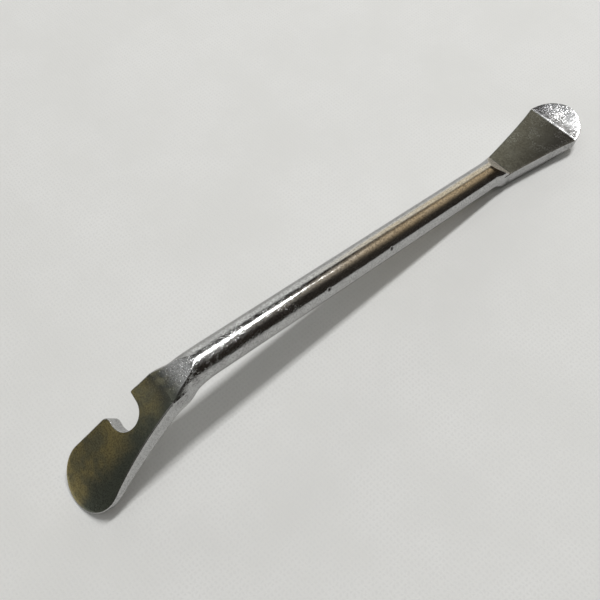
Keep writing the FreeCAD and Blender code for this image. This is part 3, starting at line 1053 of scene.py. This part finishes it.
def blade_tint_and_painted_reflection(tree, x, y, cloud):
    """Olive brown over the blade, a painted dark green reflection to its right, cleaner towards
    the neck.
    """
    warm = blend_colour(tree, map_range(tree, cloud, 0.38, 0.62), DULL_OLIVE, OLIVE)
    # Painted dark reflection: the blade's colour turns dark green towards its right side.
    side = math_node(tree, "ADD", y, times(tree, cloud, 0.007))
    dark = map_range(tree, side, -0.0025, 0.0065, 1, 0)
    warm = blend_colour(tree, dark, warm, BLADE_PAINTED_DARK_REFLECTION)
    soot = map_range(tree, cloud, 0.36, 0.54, 0.30, 1.0)
    sooty_root = times(tree, station_range(tree, x, 26, 32), soot)
    warm = blend_colour(tree, sooty_root, warm, SCALE_BLACK)
    cover = times(tree, station_range(tree, x, 32, 37, 1, 0), mesh_mask(tree, "face"))
    return blend_colour(tree, cover, BRIGHT, warm), times(tree, cover, 0.30)


def blade_pitting(tree, x):
    """Light over the blade, full at its root, a little less towards the bar."""
    root = times(tree, station_range(tree, x, 24, 30), station_range(tree, x, 40, 47, 1, 0.6))
    return math_node(tree, "MAXIMUM", root, 0.22)


def blade_relief(tree, x):
    return station_range(tree, x, 26, 34, 0.35, 1.0)


def bar_tint_and_painted_reflection(tree, x, y, cloud):
    """Bright near the bend, with a painted warm brown reflection on its top towards the spoon."""
    # Painted warm reflection: a brown band along the bar's top from station 70 towards the spoon.
    warm_reflection_patches = map_range(tree, cloud, 0.3, 0.6, 0.6, 1.0)
    right = map_range(tree, y, -0.0034, -0.0020)
    left = map_range(tree, y, 0.0012, 0.0024, 1, 0)
    warm = times(tree, station_range(tree, x, 70, 120), warm_reflection_patches, right, left)
    return blend_colour(tree, warm, BRIGHT, BAR_PAINTED_WARM_REFLECTION), times(tree, warm, 0.05)


def bar_pitting(tree, x):
    return station_range(tree, x, 60, 110, 0.6, 0.18)


def bar_relief(tree, x):
    return station_range(tree, x, 52, 90, 1.0, 0.12)


def spoon_tint_and_painted_reflection(tree, x, y, cloud):
    """Grey green on the flat face with a painted dark reflection to its right, clean on the lip
    but for a painted dark reflection to its left, and beige on the step.
    """
    # Painted dark reflection: the flat face turns dark grey towards its right.
    slant = math_node(tree, "SUBTRACT", y, times(tree, x, 0.25))
    face = blend_colour(tree, map_range(tree, slant, -0.029, -0.010), FACE_PAINTED_DARK_REFLECTION, FACE_OLIVE)
    # Painted dark reflection: the lip turns darker towards its left side.
    lip_side = math_node(tree, "ADD", y, times(tree, cloud, 0.010))
    lip = blend_colour(tree, map_range(tree, lip_side, 0.004, 0.014), BRIGHT, LIP_PAINTED_DARK_REFLECTION)
    bar, _ = bar_tint_and_painted_reflection(tree, x, y, cloud)
    base = blend_colour(tree, station_range(tree, x, 186, 187), bar, lip)
    crease = station_range(tree, x, 187.4, 187.9, 1, 0)
    foot = station_range(tree, x, 159.6, 160.7)
    cover = times(tree, crease, mesh_mask(tree, "face"), foot)
    step = mesh_mask(tree, "forged")
    colour = blend_colour(tree, step, blend_colour(tree, cover, base, face), BEIGE)
    oxide = math_node(tree, "MAXIMUM", times(tree, cover, 0.22), times(tree, step, 0.6))
    return colour, oxide


def spoon_pitting(tree, x):
    return station_range(tree, x, 165, 189, 0.3, 1.8)


def spoon_relief(tree, x):
    lip = station_range(tree, x, 187.4, 188.4, 0, 0.28)
    return math_node(tree, "MAXIMUM", lip, station_range(tree, x, 158, 161, 0.12, 0.02))


# ---------------------------------------------------------------- pieces

BLADE_FINISH = (blade_tint_and_painted_reflection, blade_pitting, blade_relief)
BAR_FINISH = (bar_tint_and_painted_reflection, bar_pitting, bar_relief)
SPOON_FINISH = (spoon_tint_and_painted_reflection, spoon_pitting, spoon_relief)
PIECES = (
    ("hook_blade_forging", "hook_blade", "plated_blade", make_hook_blade, BLADE_FINISH),
    ("shank_bar", "shank", "plated_shank", make_shank, BAR_FINISH),
    ("spoon_blade_forging", "spoon_blade", "plated_spoon", make_spoon_blade, SPOON_FINISH),
)
for piece_name, node, slot, make, finish in PIECES:
    piece = make_object(piece_name, *make())
    piece.data.materials.append(plated_steel(slot, *finish))
    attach(piece, "root")
    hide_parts(node)

# ---------------------------------------------------------------- floor


def pale_cloth():
    material = bpy.data.materials.new("pale_cloth")
    material.use_nodes = True
    tree = material.node_tree
    shader = tree.nodes["Principled BSDF"]
    place = tree.nodes.new("ShaderNodeTexCoord").outputs["Object"]
    weave = []
    for direction in ("X", "Y"):
        threads = tree.nodes.new("ShaderNodeTexWave")
        threads.bands_direction = direction
        settings = (("Scale", 260), ("Distortion", 5.0), ("Detail", 3), ("Detail Scale", 2.5))
        for key, number in settings:
            threads.inputs[key].default_value = number
        tree.links.new(place, threads.inputs["Vector"])
        weave.append(threads.outputs["Fac"])
    threads = math_node(tree, "MAXIMUM", *weave)
    fuzz = noise(tree, place, 1100, 3, 8.0)
    height = math_node(tree, "ADD", threads, times(tree, fuzz, 0.8))
    tone = map_range(tree, noise(tree, place, 30, 3, 9.0), 0.3, 0.7)
    colour = blend_colour(tree, tone, CLOTH_SHADE, CLOTH_LIGHT)
    raised = map_range(tree, height, 0.4, 1.4)
    colour = blend_colour(tree, raised, CLOTH_GAP, colour)
    tree.links.new(colour, shader.inputs["Base Color"])
    shader.inputs["Roughness"].default_value = 0.9
    tree.links.new(bump(tree, height, 0.00010, 0.22), shader.inputs["Normal"])
    return material


FLOOR_REACH = 3.0


def make_floor():
    mesh = bpy.data.meshes.new("floor")
    signs = ((-1, -1), (1, -1), (1, 1), (-1, 1))
    corners = [(a * FLOOR_REACH, b * FLOOR_REACH, 0) for a, b in signs]
    mesh.from_pydata(corners, [], [(0, 1, 2, 3)])
    floor = bpy.data.objects.new("floor", mesh)
    bpy.context.scene.collection.objects.link(floor)
    mesh.materials.append(pale_cloth())


make_floor()

# ---------------------------------------------------------------- light


# The room that the plating reflects: its colour low down, half way up and overhead.
ROOM_LOW = (0.05, 0.048, 0.042)
ROOM_MIDDLE = (0.30, 0.30, 0.29)
ROOM_TOP = (0.55, 0.56, 0.57)
BEHIND_THE_VIEW = (0.62, 0.63, 0.62)

# Patches laid over the room in turn: azimuths over which each fades in and out, elevations over
# which it fades in and out, in degrees, and its colour.
ALL_THE_WAY_DOWN = (-92, -91)
DARK_FRONT = ((-110, -80), (70, 95), ALL_THE_WAY_DOWN, (40, 68), (0.035, 0.030, 0.025))
WARM_WALL = ((-14, 2), (24, 36), (30, 36), (50, 56), (0.24, 0.20, 0.15))
WARM_GLOW = ((-42, 6), (11, 21), (26, 36), (48, 58), (0.66, 0.57, 0.44))
BACKDROP = ((18, 26), (105, 120), ALL_THE_WAY_DOWN, (31, 34), (1.05, 1.06, 1.03))
WINDOW = ((116, 128), (162, 172), (40, 49), (60, 68), (0.76, 0.77, 0.77))


def make_world():
    world = bpy.data.worlds.new("studio")
    bpy.context.scene.world = world
    world.use_nodes = True
    tree = world.node_tree
    coordinates = tree.nodes.new("ShaderNodeTexCoord")
    split = tree.nodes.new("ShaderNodeSeparateXYZ")
    tree.links.new(coordinates.outputs["Generated"], split.inputs[0])
    x, y, z = split.outputs
    elevation = times(tree, math_node(tree, "ARCSINE", z), 180 / math.pi)
    azimuth = times(tree, math_node(tree, "ARCTAN2", y, x), 180 / math.pi)

    room = blend_colour(tree, map_range(tree, elevation, 12, 50), ROOM_LOW, ROOM_MIDDLE)
    room = blend_colour(tree, map_range(tree, elevation, 60, 75), room, ROOM_TOP)
    for start, stop, foot, head, patch in (DARK_FRONT, WARM_WALL, WARM_GLOW, BACKDROP, WINDOW):
        round_about = (map_range(tree, azimuth, *start), map_range(tree, azimuth, *stop, 1, 0))
        upright = (map_range(tree, elevation, *foot), map_range(tree, elevation, *head, 1, 0))
        room = blend_colour(tree, times(tree, *round_about, *upright), room, patch)

    seen = tree.nodes.new("ShaderNodeLightPath").outputs["Is Camera Ray"]
    colour = blend_colour(tree, seen, room, BEHIND_THE_VIEW)
    background = tree.nodes["Background"]
    tree.links.new(colour, background.inputs["Color"])
    background.inputs["Strength"].default_value = 1.0


make_world()


def strip_light(name, place, size, power):
    light = bpy.data.lights.new(name, "AREA")
    light.shape = "RECTANGLE"
    light.size, light.size_y = size
    light.energy = power
    holder = bpy.data.objects.new(name, light)
    holder.location = place
    holder.visible_camera = False
    bpy.context.scene.collection.objects.link(holder)


STRIP_PLACE = (0.56, 0.20, 1.5)
STRIP_SIZE = (0.84, 0.18)
STRIP_POWER = 15.6
strip_light("ceiling_strip", STRIP_PLACE, STRIP_SIZE, STRIP_POWER)

# ---------------------------------------------------------------- camera

CAMERA_PLACE = (-0.08528, -0.07162, 0.1790)
CAMERA_PITCH = 30.3
CAMERA_YAW = -41.14
CAMERA_LENS = 42.0

camera = bpy.data.objects.new("camera", bpy.data.cameras.new("camera"))
camera.data.lens = CAMERA_LENS
camera.data.sensor_width = 36.0
camera.data.clip_start = 0.01
camera.location = CAMERA_PLACE
camera.rotation_euler = Euler((math.radians(CAMERA_PITCH), 0, math.radians(CAMERA_YAW)))
bpy.context.scene.collection.objects.link(camera)
bpy.context.scene.camera = camera
bpy.context.scene.view_settings.view_transform = "Standard"
